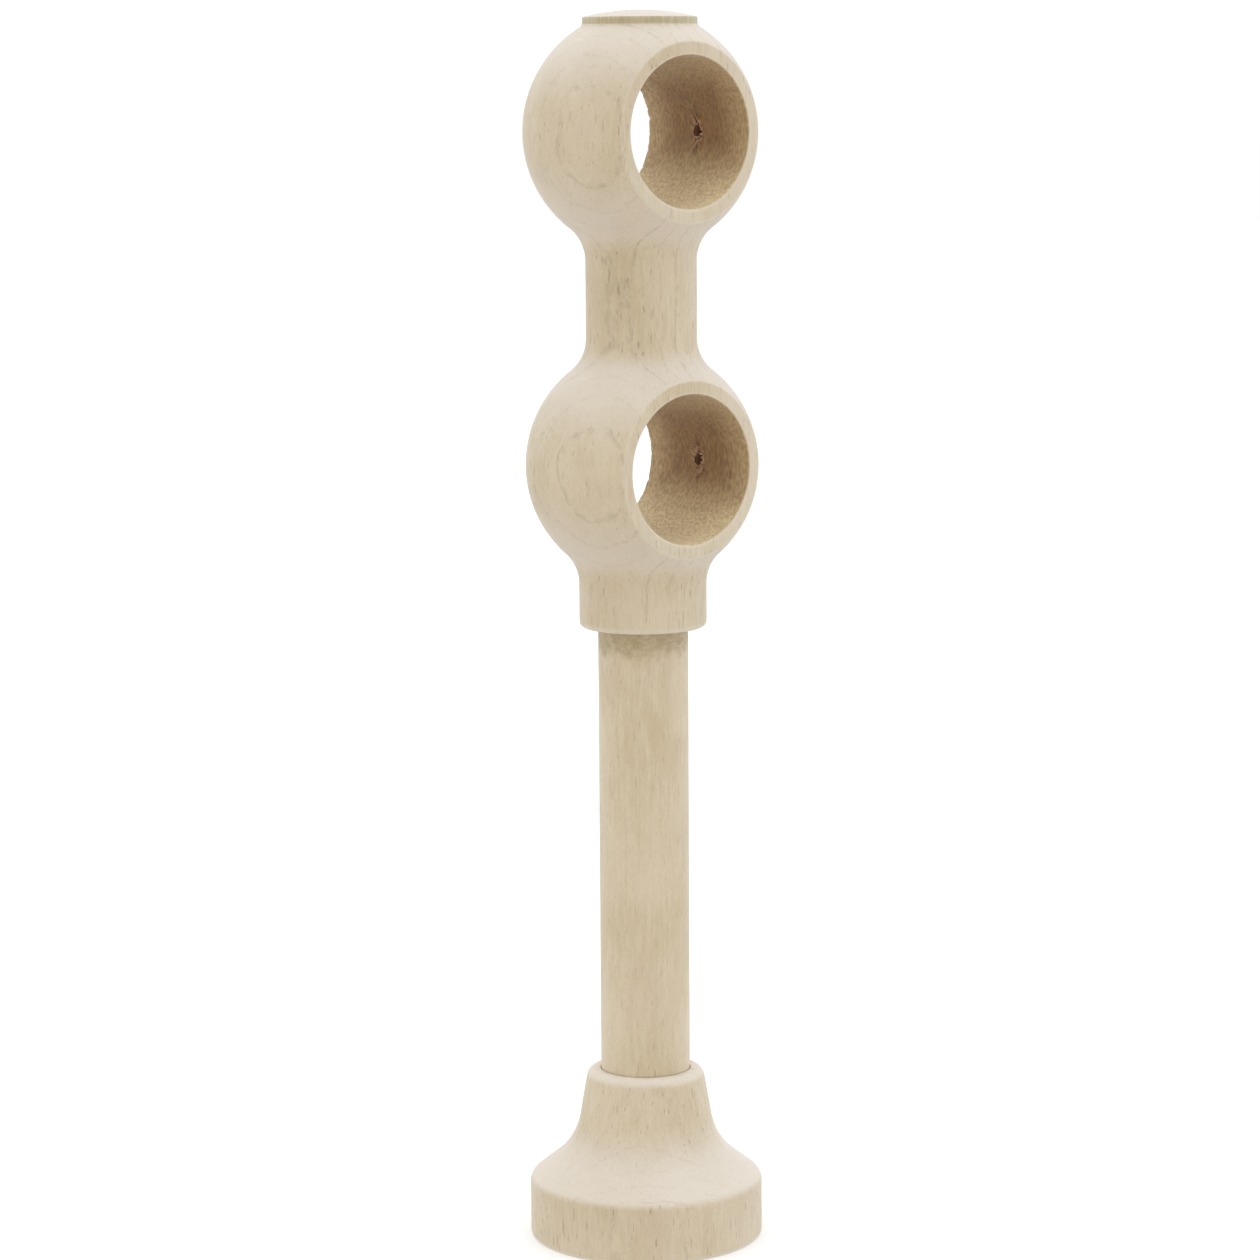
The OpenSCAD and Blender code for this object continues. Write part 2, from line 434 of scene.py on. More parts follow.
def flat_edge(row, side, face):
    """The rounded edge between the ball and a flat, at one of the rows that it cuts."""
    r, z, out_r, out_z = row
    flat = HALF_THICK - EYE_FILLET
    inner_r = r - EYE_FILLET * out_r
    opening = math.acos(min(1.0, flat / inner_r))
    start = Vector((out_r * math.cos(opening), out_r * math.sin(opening), out_z))
    end = Vector((1, 0, 0))
    centre = Vector((flat, inner_r * math.sin(opening), z - EYE_FILLET * out_z))
    turn = start.angle(end)
    points = []
    for i in range(6):
        t = i / 5
        way = (start * math.sin((1 - t) * turn) + end * math.sin(t * turn)).normalized()
        point = centre + way * EYE_FILLET
        points.append((face * point.x, side * point.y, point.z))
    return opening, points


def tear(y, z, face):
    """How far the drill tore the rim that it came out of, at one place."""
    if face > 0:
        return 0.0
    broad = noise.noise(Vector((y * 0.8, z * 0.8, 3.1)))
    fine = noise.noise(Vector((y * 2.3, z * 2.3, 8.7)))
    return TEAR_DEPTH * max(0.0, broad + 0.6 * fine - 0.1)


def eye_ray(rim, middle, side, face):
    """From a flat's edge over the flat and round the bore's rim, at one angle."""
    angle = math.atan2(side * abs(rim[1]), rim[2] - middle)
    across, up = math.sin(angle), math.cos(angle)
    outer = math.hypot(rim[1], rim[2] - middle)
    inner = BORE_R + RIM_FILLET
    torn = tear(inner * across, middle + inner * up, face)
    profile = [(HALF_THICK, outer + (inner - outer) * i / 3) for i in range(4)]
    for i in range(1, 6):
        t = PI / 2 * i / 5
        share = math.sin(t)
        x = HALF_THICK - RIM_FILLET * (1 - math.cos(t)) - torn * share
        profile.append((x, inner - RIM_FILLET * share + 0.5 * torn * share))
    return [(face * x, r * across, middle + r * up) for x, r in profile]


def bore_wall(near, far, middle):
    """Points along the bore from the rim on the +X flat to the rim on the -X flat."""
    angle = math.atan2(near[1], near[2] - middle)
    points = []
    for i in range(BORE_STEPS + 1):
        t = i / BORE_STEPS
        x = near[0] + (far[0] - near[0]) * t
        extra = math.hypot(far[1], far[2] - middle) - BORE_R
        r = BORE_R + extra * math.exp((far[0] - x) / TEAR_REACH)
        points.append((x, r * math.sin(angle), middle + r * math.cos(angle)))
    return [near] + points[1:-1] + [far]


def add_eye(skin, ball, rows):
    """The part of a ball between its two flats, the flats, and the bore."""
    for side in (1, -1):
        edges = {face: [flat_edge(row, side, face) for row in rows] for face in (1, -1)}
        skin.grid([half_turn(row, side, edge[0]) for row, edge in zip(rows, edges[1])])
        rims = {}
        for face in (1, -1):
            skin.grid([points for _, points in edges[face]])
            rays = [eye_ray(points[-1], ball.middle, side, face) for _, points in edges[face]]
            skin.grid(rays)
            rims[face] = [ray[-1] for ray in rays]
        skin.grid([bore_wall(near, far, ball.middle) for near, far in zip(rims[1], rims[-1])])


def build_head():
    """The head: two turned balls, faced flat on two sides, bored and drilled."""
    lower = Ball(EYES["lower"], COLLAR_R, NECK_R)
    upper = Ball(EYES["upper"], NECK_R)
    low_a, rows_a, high_a = lower.rows(0.7)
    low_b, rows_b, high_b = upper.rows(0.7)
    collar_top = (COLLAR_R, COLLAR_Z + COLLAR_EDGE)
    outlines = [
        joined(collar_outline(), line(collar_top, (COLLAR_R, lower.low_z), 0.9), low_a),
        joined(high_a, line((NECK_R, lower.high_z), (NECK_R, upper.low_z), 0.9), low_b),
        joined(high_b, button_outline()),
    ]
    skin = Skin()
    for side in (1, -1):
        for outline in outlines:
            skin.grid([half_turn(row, side) for row in outline])
    add_eye(skin, lower, rows_a)
    add_eye(skin, upper, rows_b)
    head = skin.finish("turned_head")
    tools = []
    for z in EYES.values():
        tools.append(along_y(bar("hole", SCREW_HOLE_R, BORE_R - 3, BALL_R + 2, 28), z))
        tools.append(along_y(bar("recess", RECESS_R, BALL_R - RECESS_DEPTH, BALL_R + 3, 48), z))
    cut(head, tools)
    return head


# ---- The stem, the rose and the metal pieces ----

def build_stem():
    """The dowel, with chamfered ends and the stepped hole for the insert and the bolt."""
    seat_r = INSERT_R + GLUE_GAP
    seat_z = INSERT_LEN + END_GAP
    point_z = BOLT_HOLE_DEPTH - BOLT_HOLE_POINT
    inner = STEM_R - STEM_CHAMFER
    outline = joined(
        line((0, BOLT_HOLE_DEPTH), (BOLT_HOLE_R, point_z), 1),
        line((BOLT_HOLE_R, point_z), (BOLT_HOLE_R, seat_z), 1.2),
        line((BOLT_HOLE_R, seat_z), (seat_r, seat_z), 0.6),
        line((seat_r, seat_z), (seat_r, 0.2), 1.0),
        line((seat_r, 0.2), (seat_r + 0.2, 0), 0.2),
        line((seat_r + 0.2, 0), (inner, 0), 0.7),
        line((inner, 0), (STEM_R, STEM_CHAMFER), 0.4),
        line((STEM_R, STEM_CHAMFER), (STEM_R, STEM_TOP_Z - STEM_CHAMFER), 0.9),
        line((STEM_R, STEM_TOP_Z - STEM_CHAMFER), (inner, STEM_TOP_Z), 0.4),
        line((inner, STEM_TOP_Z), (0, STEM_TOP_Z), 1.0),
    )
    skin = Skin()
    skin.turn(outline, STEM_STEPS)
    return skin.finish("dowel")


def rose_outline():
    """Once round the rose's section, from the bore's lower mouth."""
    bore = SOCKET_R
    turned = (math.cos(FLARE_ANGLE), math.sin(FLARE_ANGLE))
    shoulder = (ROSE_R - SHOULDER_R, FOOT_SIDE)
    shoulder_end = (shoulder[0] + SHOULDER_R * turned[0], shoulder[1] + SHOULDER_R * turned[1])
    lip_out, lip_up = math.cos(THROAT_TAPER), math.sin(THROAT_TAPER)
    throat_end = (THROAT_R, ROSE_H - LIP_R * (1 - lip_up))
    lip = (throat_end[0] - LIP_R * lip_out, throat_end[1] - LIP_R * lip_up)
    flare_way = (-turned[1], turned[0])
    throat_way = (-lip_up, lip_out)
    bend = FLARE_ANGLE - THROAT_TAPER
    gap = (throat_end[0] - shoulder_end[0], throat_end[1] - shoulder_end[1])
    flare_len = (gap[0] * throat_way[1] - gap[1] * throat_way[0]) / -math.sin(bend)
    cove_len = ROSE_COVE_R * math.tan(bend / 2)
    start = tuple(a + (flare_len - cove_len) * b for a, b in zip(shoulder_end, flare_way))
    centre = (start[0] + ROSE_COVE_R * turned[0], start[1] + ROSE_COVE_R * turned[1])
    cove = arc(centre, ROSE_COVE_R, PI + FLARE_ANGLE, PI + THROAT_TAPER, 0.6)
    return joined(
        line((bore, MOUTH_EDGE), (bore + MOUTH_EDGE, 0), 0.2),
        line((bore + MOUTH_EDGE, 0), (ROSE_R - FOOT_EDGE, 0), 0.8),
        arc((ROSE_R - FOOT_EDGE, FOOT_EDGE), FOOT_EDGE, -PI / 2, 0, 0.15),
        line((ROSE_R, FOOT_EDGE), (ROSE_R, FOOT_SIDE), 0.6),
        arc(shoulder, SHOULDER_R, 0, FLARE_ANGLE, 0.2),
        line(shoulder_end, start, 0.6),
        cove,
        line(cove[-1], throat_end, 0.6),
        arc(lip, LIP_R, THROAT_TAPER, PI / 2, 0.2),
        line((lip[0], ROSE_H), (bore + MOUTH_EDGE, ROSE_H), 0.2),
        line((bore + MOUTH_EDGE, ROSE_H), (bore, ROSE_H - MOUTH_EDGE), 0.2),
        line((bore, ROSE_H - MOUTH_EDGE), (bore, MOUTH_EDGE), 1.2),
    )


def build_rose():
    """The wall rose, turned in one piece and bored through for the stem."""
    skin = Skin()
    skin.turn(rose_outline(), FULL_STEPS)
    return skin.finish("turned_rose")


def ridge(place, width):
    """Height, from 0 to 1, of a thread's ridge at a place counted in turns."""
    return max(0.0, 1 - abs((place % 1.0) - 0.5) / (width / 2))


def threaded_rows(start, end, step, columns, radius):
    """Rings of points whose radius follows a thread; radius is a function of turn and height."""
    count = math.ceil((end - start) / step)
    rows = []
    for i in range(count + 1):
        z = start + (end - start) * i / count
        ring = []
        for j in range(columns):
            r = radius(j / columns, z)
            a = TURN * j / columns
            ring.append((r * math.cos(a), r * math.sin(a), z))
        rows.append(ring)
    return rows


def build_insert():
    """The brass insert: a coarse wood thread outside, a fine machine thread inside."""

    def outside(turn, z):
        near_end = min(z, INSERT_LEN - z)
        crest = INSERT_R - 0.03 - INSERT_CHAMFER * max(0.0, 1 - near_end / INSERT_CHAMFER)
        return min(crest, INSERT_R - 0.75 + INSERT_RIDGE * ridge(z / INSERT_PITCH - turn, 0.55))

    def inside(turn, z):
        mouth = INNER_RIDGE * max(0.0, 1 - min(z, INSERT_LEN - z) / 0.6)
        groove = INNER_RIDGE * (1 - ridge(z / INNER_PITCH - turn, 0.9))
        return INSERT_BORE_R + 0.02 + max(mouth, groove)

    outer = threaded_rows(0, INSERT_LEN, 0.16, INSERT_STEPS, outside)
    inner = threaded_rows(INSERT_LEN, 0, -0.125, INSERT_STEPS, inside)
    skin = Skin()
    skin.grid(outer + inner + outer[:1], ring=True)
    insert = skin.finish("brass_insert")
    wide, deep = INSERT_SLOT
    cut(insert, [block("slot", (-INSERT_R - 1, -wide / 2, -1), (INSERT_R + 1, wide / 2, deep))])
    return insert


def screw_head_outline():
    """From the shank out under the head, up its band and over the dome to the middle."""
    dome_h = SCREW_HEAD_H - SCREW_HEAD_BAND
    dome_r = (SCREW_HEAD_R ** 2 + dome_h ** 2) / (2 * dome_h)
    slope = math.asin(SCREW_HEAD_R / dome_r)
    dome = arc((0, SCREW_LEN + SCREW_HEAD_H - dome_r), dome_r, PI / 2 - slope, PI / 2, 0.25)
    foot = (SCREW_HEAD_R - SCREW_HEAD_FOOT, SCREW_LEN)
    side = (SCREW_HEAD_R - SCREW_HEAD_INSET, SCREW_LEN + SCREW_HEAD_FOOT)
    brow = (dome[0][0] - SCREW_HEAD_INSET, dome[0][1] - 0.05)
    return joined(
        line((SCREW_R * SCREW_ROOT, SCREW_LEN), foot, 0.4),
        line(foot, side, 0.2),
        line(side, brow, 0.2),
        [(r - SCREW_HEAD_INSET if r > SCREW_HEAD_INSET else 0, h) for r, h in dome],
    )


def build_screw(name, z):
    """A pan-head wood screw with a real thread, lying along +Y through an eye's wall."""

    def thread(turn, height):
        crest = SCREW_TIP_R + (SCREW_R - SCREW_TIP_R) * min(1.0, height / SCREW_POINT)
        root = crest * SCREW_ROOT
        fade = min(1.0, max(0.0, (SCREW_LEN - height) / SCREW_RUN_OUT))
        return root + (crest - root) * ridge(height / SCREW_PITCH - turn, 0.5) * fade

    angles = [TURN * j / SCREW_STEPS for j in range(SCREW_STEPS)]
    rows = [[(0, 0, 0)] * SCREW_STEPS]
    rows += threaded_rows(0.0, SCREW_LEN, 0.09, SCREW_STEPS, thread)
    for r, h in screw_head_outline()[1:]:
        rows.append([(r * math.cos(a), r * math.sin(a), h) for a in angles])
    skin = Skin()
    skin.grid(rows, ring=True)
    screw = skin.finish(name)
    top = SCREW_LEN + SCREW_HEAD_H
    arms = []
    for wide, deep in ((CROSS_REACH, CROSS_HALF_WIDTH), (CROSS_HALF_WIDTH, CROSS_REACH)):
        arms.append(block("arm", (-wide, -deep, top - CROSS_DEPTH), (wide, deep, top + 1)))
    cut(screw, arms)
    screw.data.transform(Matrix.Translation((0, 0, SCREW_TIP_Y * MM)))
    return along_y(screw, z)


LONG_FIBRES = 26
RIM_FIBRES = 22
# Chips beside a screw's hole: distance and angle from its axis, length, width.
LOWER_CHIPS = ((1.35, -1.25, 1.7, 1.0), (1.60, -1.85, 1.2, 0.6), (1.45, -0.45, 1.2, 0.8))
UPPER_CHIPS = ((1.40, -1.40, 1.0, 0.5), (1.45, 0.60, 1.6, 0.5))


def sliver(skin, root, way, lift, length, width, thick):
    """A torn fibre: a closed spike that leaves the wood along way and bends along lift."""
    side = way.cross(lift).normalized()
    rows = [[root] * 6]
    for i in range(1, 7):
        t = i / 7
        centre = root + way * (length * t) + lift * (length * 0.45 * t * t)
        broad = width * math.sin(PI * min(1.0, 0.25 + 0.75 * t)) / 2
        flat = thick * (1 - 0.8 * t) / 2
        rows.append([
            centre + side * (broad * math.cos(TURN * k / 6)) + lift * (flat * math.sin(TURN * k / 6))
            for k in range(6)
        ])
    rows.append([root + way * length + lift * (length * 0.45)] * 6)
    skin.grid(rows, ring=True)


def build_torn_fibres(name, z, seed, chips):
    """Fibres that the drill for a locking screw lifted round its hole in the pole bore."""
    draw = random.Random(seed)
    skin = Skin()
    inward = Vector((0, -1, 0))

    def on_wall(out, a, sunk):
        rise = out * math.cos(a)
        return Vector((out * math.sin(a), math.sqrt(BORE_R ** 2 - rise ** 2) + sunk, z + rise))

    for i in range(LONG_FIBRES):
        up = 1 if i % 2 else -1
        a = draw.uniform(-0.9, 0.9) + (0 if up > 0 else PI)
        way = Vector((draw.uniform(-0.25, 0.25), -draw.uniform(0.05, 0.3), up)).normalized()
        length = draw.uniform(0.8, 2.2)
        width = draw.uniform(0.18, 0.38)
        sliver(skin, on_wall(draw.uniform(1.4, 1.8), a, 0.12), way, inward, length, width, 0.14)
    for i in range(RIM_FIBRES):
        a = TURN * i / RIM_FIBRES + draw.uniform(-0.15, 0.15)
        root = on_wall(1.55, a, 0.12)
        end = on_wall(draw.uniform(0.98, 1.2), a + draw.uniform(-0.45, 0.45), -draw.uniform(0.05, 0.2))
        width = draw.uniform(0.25, 0.5)
        sliver(skin, root, (end - root).normalized(), inward, (end - root).length, width, 0.12)
    for out, a, length, width in chips:
        way = Vector((-0.30, -0.20, 0.9)).normalized()
        sliver(skin, on_wall(out, a, 0.1), way, Vector((0.1, -1, 0)), length, width, 0.35)
    return skin.finish(name)


# ---- Materials ----

class Nodes:
    """Short calls for building one material's or one world's nodes."""

    def __init__(self, owner):
        owner.use_nodes = True
        self.tree = owner.node_tree

    def new(self, kind, **settings):
        node = self.tree.nodes.new(kind)
        for key, value in settings.items():
            setattr(node, key, value)
        return node

    def feed(self, socket, value):
        if isinstance(value, bpy.types.NodeSocket):
            self.tree.links.new(value, socket)
        else:
            socket.default_value = value

    def math(self, operation, *values):
        node = self.new("ShaderNodeMath", operation=operation)
        for socket, value in zip(node.inputs, values):
            self.feed(socket, value)
        return node.outputs[0]

    def plus(self, first, second):
        return self.math("ADD", first, second)

    def less(self, first, second):
        return self.math("SUBTRACT", first, second)

    def most(self, first, second):
        return self.math("MAXIMUM", first, second)

    def size(self, value):
        return self.math("ABSOLUTE", value)

    def times(self, *values):
        product = values[0]
        for value in values[1:]:
            product = self.math("MULTIPLY", product, value)
        return product

    def radius(self, first, second):
        """Distance from an axis, from the two coordinates across it."""
        return self.math("SQRT", self.plus(self.times(first, first), self.times(second, second)))

    def vector(self, operation, *values):
        node = self.new("ShaderNodeVectorMath", operation=operation)
        for socket, value in zip(node.inputs, values):
            self.feed(socket, value)
        return node.outputs["Value" if operation in ("LENGTH", "DOT_PRODUCT") else "Vector"]

    def split(self, vector):
        node = self.new("ShaderNodeSeparateXYZ")
        self.feed(node.inputs[0], vector)
        return node.outputs

    def stretch(self, vector, x, y, z):
        return self.vector("MULTIPLY", vector, (x, y, z))

    def noise(self, vector, detail, rough):
        node = self.new("ShaderNodeTexNoise")
        self.feed(node.inputs["Vector"], vector)
        node.inputs["Scale"].default_value = 1.0
        node.inputs["Detail"].default_value = detail
        node.inputs["Roughness"].default_value = rough
        return node.outputs["Fac"]

    def cells(self, vector):
        node = self.new("ShaderNodeTexVoronoi", feature="F1")
        self.feed(node.inputs["Vector"], vector)
        node.inputs["Scale"].default_value = 1.0
        return node.outputs["Distance"], node.outputs["Color"]

    def fade(self, value, start, end, low=0.0, high=1.0):
        """Runs smoothly from low to high as the value goes from start to end."""
        node = self.new("ShaderNodeMapRange", interpolation_type="SMOOTHSTEP")
        for socket, given in zip(node.inputs, (value, start, end, low, high)):
            self.feed(socket, given)
        return node.outputs[0]

    def mix(self, share, first, second):
        """From the first colour to the second as the share goes from 0 to 1."""
        node = self.new("ShaderNodeMix", data_type="RGBA")
        self.feed(node.inputs["Factor"], share)
        for name, colour in (("A", first), ("B", second)):
            made = isinstance(colour, bpy.types.NodeSocket)
            self.feed(node.inputs[name], colour if made else (*colour, 1.0))
        return node.outputs["Result"]

    def object_place(self):
        """The point on the piece in the row frame, in millimetres."""
        place = self.new("ShaderNodeTexCoord").outputs["Object"]
        return self.stretch(place, 1 / MM, 1 / MM, 1 / MM)

    def attribute(self, name):
        return self.new("ShaderNodeAttribute", attribute_name=name).outputs["Fac"]

    def bump(self, height, distance):
        """A bump's normal; the distance is in millimetres."""
        node = self.new("ShaderNodeBump")
        node.inputs["Strength"].default_value = 1.0
        node.inputs["Distance"].default_value = distance * MM
        self.feed(node.inputs["Height"], height)
        return node.outputs["Normal"]


PALE = (0.705, 0.615, 0.470)
TAN = (0.600, 0.500, 0.345)
PINK = (0.690, 0.580, 0.455)
CROSS = (0.745, 0.680, 0.605)
RING = (0.330, 0.265, 0.200)
FLECK = (0.270, 0.195, 0.120)
# Pale colour for worn edges with a painted highlight, also used as painted light on the flats round the
# eyes.
PALE_WEAR_AND_LIGHT = (0.790, 0.725, 0.610)
# Bore colours: drilled brown deepened into painted shade, and pale fuzz used as painted light.
BORE_BROWN_AND_SHADE = (0.390, 0.235, 0.098)
BORE_DEEP_BROWN_AND_SHADE = (0.205, 0.095, 0.028)
BORE_FUZZ_AND_LIGHT = (0.935, 0.785, 0.480)
# Brown for the bruise round a screw hole, and painted shade inside the hole.
BRUISE_AND_HOLE_SHADE = (0.230, 0.075, 0.020)
CRACK = (0.080, 0.034, 0.012)
# Darker joint line with painted shade where the stem and the rose meet.
JOINT_LINE_AND_SHADE = (0.420, 0.330, 0.215)
# Glue stain under the collar, with painted shadow.
GLUE_AND_SHADOW = (0.400, 0.320, 0.180)
BAND = (0.420, 0.380, 0.220)
TORN_DARK = (0.40, 0.22, 0.125)
TORN_PALE = (0.74, 0.53, 0.37)

# How far the paler flat reaches from an eye's axis, and the gap between turning marks.
FLAT_REACH = 19.0
TURNING_MARK = 0.8


def new_material(name):
    material = bpy.data.materials.new(name)
    nodes = Nodes(material)
    return material, nodes, nodes.tree.nodes["Principled BSDF"]


def coat(nodes, shader, colour, rough, normal):
    nodes.feed(shader.inputs["Base Color"], colour)
    nodes.feed(shader.inputs["Roughness"], rough)
    nodes.feed(shader.inputs["Normal"], normal)


def growth_rings(nodes, place, pith, gap):
    """Thin broken dark lines where the growth rings meet the surface."""
    sway = nodes.noise(nodes.stretch(place, 0.09, 0.09, 0.05), 6, 0.62)
    across = nodes.vector("SUBTRACT", nodes.stretch(place, 1, 1, 0), (*pith, 0))
    depth = nodes.plus(nodes.vector("LENGTH", across), nodes.times(sway, gap * 1.1))
    count = nodes.math("DIVIDE", depth, gap)
    part = nodes.math("FRACT", count)
    late = nodes.times(nodes.fade(part, 0.80, 0.95), nodes.fade(part, 1.0, 0.965))
    luck = nodes.new("ShaderNodeTexWhiteNoise", noise_dimensions="1D")
    nodes.feed(luck.inputs["W"], nodes.math("FLOOR", count))
    broken = nodes.noise(nodes.stretch(place, 0.6, 0.6, 0.45), 3, 0.65)
    broken = nodes.fade(broken, 0.40, 0.58, 0.05, 1.0)
    return nodes.times(late, broken, nodes.fade(luck.outputs[0], 0.1, 0.9, 0.3, 1.0))


def flecks(nodes, place, size, length, limit):
    """Short upright spindles, where rays and pores meet the surface."""
    ragged = nodes.noise(nodes.stretch(place, 1.7, 1.7, 0.5), 1, 0.5)
    sway = nodes.stretch(nodes.vector("ADD", ragged, (-0.5, -0.5, -0.5)), 0.5, 0.5, 0.0)
    bent = nodes.vector("ADD", place, sway)
    distance, colour = nodes.cells(nodes.stretch(bent, 1 / size, 1 / size, 1 / length))
    edge = nodes.times(nodes.split(colour)[0], limit)
    return nodes.fade(nodes.less(distance, edge), 0.05, -0.03)


class Grain:
    """The noise patterns that run through one piece of beech."""

    def __init__(self, nodes, place):
        self.clouds = nodes.noise(nodes.stretch(place, 0.075, 0.075, 0.045), 3, 0.55)
        self.warmth = nodes.noise(nodes.stretch(place, 0.11, 0.11, 0.05), 2, 0.5)
        self.streaks = nodes.noise(nodes.stretch(place, 1.4, 1.4, 0.16), 3, 0.6)
        self.fibres = nodes.noise(nodes.stretch(place, 4.5, 4.5, 0.55), 3, 0.65)
        specks = nodes.noise(nodes.stretch(place, 9.0, 9.0, 1.6), 1, 0.5)
        self.pores = nodes.fade(specks, 0.60, 0.74)


def side_colour(nodes, grain, light):
    """Tan to pale along the fibres, with warmer patches."""
    tone = nodes.plus(grain.clouds, nodes.times(grain.streaks, 0.65))
    tone = nodes.plus(tone, nodes.times(grain.fibres, 0.35))
    tan = tuple(part * light for part in TAN)
    pale = tuple(part * light for part in PALE)
    colour = nodes.mix(nodes.fade(tone, 0.72, 1.28), tan, pale)
    return nodes.mix(nodes.fade(grain.warmth, 0.45, 0.75, 0.0, 0.55), colour, PINK)


def end_grain(nodes, fibres):
    """How much end grain a surface shows: none when upright, all when level."""
    tilt = nodes.split(nodes.new("ShaderNodeTexCoord").outputs["Normal"])[2]
    cross = nodes.plus(nodes.size(tilt), nodes.times(fibres, 0.16))
    return nodes.fade(cross, 0.22, 0.80)


def dark_marks(nodes, place, grain, cross, share):
    """Flecks of three sizes, fewer in the paler clouds and on end grain."""
    small = flecks(nodes, place, 0.75, 4.6, 0.21)
    longer = flecks(nodes, nodes.vector("ADD", place, (31.0, 17.0, 9.0)), 0.95, 7.2, 0.20)
    large = flecks(nodes, nodes.vector("ADD", place, (7.0, 53.0, 21.0)), 2.2, 10.0, 0.09)
    marks = nodes.most(nodes.times(small, 0.50), nodes.times(longer, 0.44))
    marks = nodes.most(marks, nodes.times(large, 0.50))
    marks = nodes.times(marks, nodes.fade(grain.clouds, 0.70, 0.35, 0.35, 1.0))
    return nodes.times(marks, nodes.fade(cross, 0.1, 0.8, share, share * 0.35))


def wood(name, finish, seed, pith, gap, ring_share, mark_share, light):
    """Raw beech: fibres along Z, growth rings round a pith outside the piece."""
    material, nodes, shader = new_material(name)
    true_place = nodes.object_place()
    place = nodes.vector("ADD", true_place, seed)
    grain = Grain(nodes, place)
    rings = growth_rings(nodes, true_place, pith, gap)
    cross = end_grain(nodes, grain.fibres)
    marks = dark_marks(nodes, place, grain, cross, mark_share)

    colour = nodes.mix(nodes.times(cross, 0.66), side_colour(nodes, grain, light), CROSS)
    colour = nodes.mix(nodes.times(rings, ring_share), colour, RING)
    colour = nodes.mix(marks, colour, FLECK)
    colour = nodes.mix(nodes.times(grain.pores, 0.17), colour, FLECK)

    height = nodes.plus(nodes.times(grain.fibres, 0.55), nodes.times(grain.streaks, 0.35))
    for pattern, depth in ((marks, 0.9), (grain.pores, 0.25), (rings, 0.2)):
        height = nodes.less(height, nodes.times(pattern, depth))

    # Convex edges paler: partly real wear, partly a painted highlight.
    worn_and_lit_edge = nodes.fade(nodes.attribute("edge"), 0.55, 0.68)
    worn_and_lit_edge = nodes.times(worn_and_lit_edge, nodes.fade(grain.fibres, 0.3, 0.6, 0.6, 1.0))
    colour = nodes.mix(nodes.times(worn_and_lit_edge, 0.55), colour, PALE_WEAR_AND_LIGHT)
    colour, height = finish(nodes, true_place, colour, height)

    rough = nodes.plus(nodes.times(grain.fibres, 0.16), 0.62)
    rough = nodes.less(rough, nodes.times(worn_and_lit_edge, 0.08))
    coat(nodes, shader, colour, rough, nodes.bump(height, 0.10))
    shader.inputs["Specular IOR Level"].default_value = 0.35
    shader.inputs["Sheen Weight"].default_value = 0.22
    shader.inputs["Sheen Roughness"].default_value = 0.45
    return material


class EyePlace:
    """Where a point of the head lies from one eye's axis and middle, in millimetres."""

    def __init__(self, nodes, place, eye_z):
        self.x, self.y, z = nodes.split(place)
        self.rise = nodes.less(z, eye_z)
        self.across = nodes.radius(self.y, self.rise)
        self.inside = nodes.fade(self.across, BORE_R + 0.30, BORE_R + 0.05)
        self.far_side = nodes.fade(self.y, 2.0, 4.0)


def shaded_drilled_wall(nodes, eye, scrape, fuzz, colour):
    """A bore's wall: drilled brown deepened by painted shade, with pale lifted fibres placed as painted
    light below, above and towards the rims.
    """
    # Painted shade: the bore's inside recoloured dark brown, over the real drilled brown.
    shade = nodes.mix(nodes.fade(nodes.plus(scrape, fuzz), 0.75, 1.25), BORE_DEEP_BROWN_AND_SHADE, BORE_BROWN_AND_SHADE)
    share = nodes.times(eye.inside, nodes.fade(scrape, 0.2, 0.7, 0.80, 1.0))
    colour = nodes.mix(share, colour, shade)
    # Painted light: paler lifted fibres where light reaches the wall, at its bottom, its top and
    # towards the rims.
    below = nodes.fade(eye.rise, -1.0, -13.0)
    above = nodes.fade(eye.rise, 7.0, 14.0, 0.0, 0.45)
    near_rims = nodes.fade(nodes.size(eye.x), 5.0, 15.0, 0.0, 0.45)
    lit_lifted_fibres = nodes.most(nodes.most(below, above), near_rims)
    lit_lifted_fibres = nodes.times(eye.inside, lit_lifted_fibres, nodes.fade(fuzz, 0.34, 0.66, 0.55, 1.0))
    return nodes.mix(nodes.times(lit_lifted_fibres, 0.88), colour, BORE_FUZZ_AND_LIGHT)


def screw_hole(nodes, eye, scrape, fuzz, colour):
    """The bruise and the split round the hole that a locking screw comes through, and the hole darkened
    with painted shade.
    """
    off = nodes.radius(eye.x, eye.rise)
    wide = nodes.plus(off, nodes.times(fuzz, 1.6))
    bruise = nodes.times(nodes.fade(wide, 3.1, 1.7), eye.far_side, eye.inside)
    colour = nodes.mix(nodes.times(bruise, 0.5), colour, BRUISE_AND_HOLE_SHADE)
    bend = nodes.times(nodes.less(scrape, 0.5), 1.6)
    split = nodes.fade(nodes.size(nodes.plus(eye.x, bend)), 0.60, 0.15)
    split = nodes.times(split, nodes.fade(nodes.size(eye.rise), 6.5, 2.5))
    split = nodes.times(split, eye.inside, eye.far_side)
    colour = nodes.mix(nodes.times(split, 0.6), colour, CRACK)
    # Painted shade: the wall of the screw's hole darkened so that the hole reads dark.
    hole = nodes.fade(off, SCREW_HOLE_R + 0.12, SCREW_HOLE_R + 0.04)
    in_wall = nodes.fade(eye.y, BORE_R - 0.5, BORE_R + 0.2)
    return nodes.mix(nodes.times(hole, in_wall, 0.8), colour, BRUISE_AND_HOLE_SHADE)


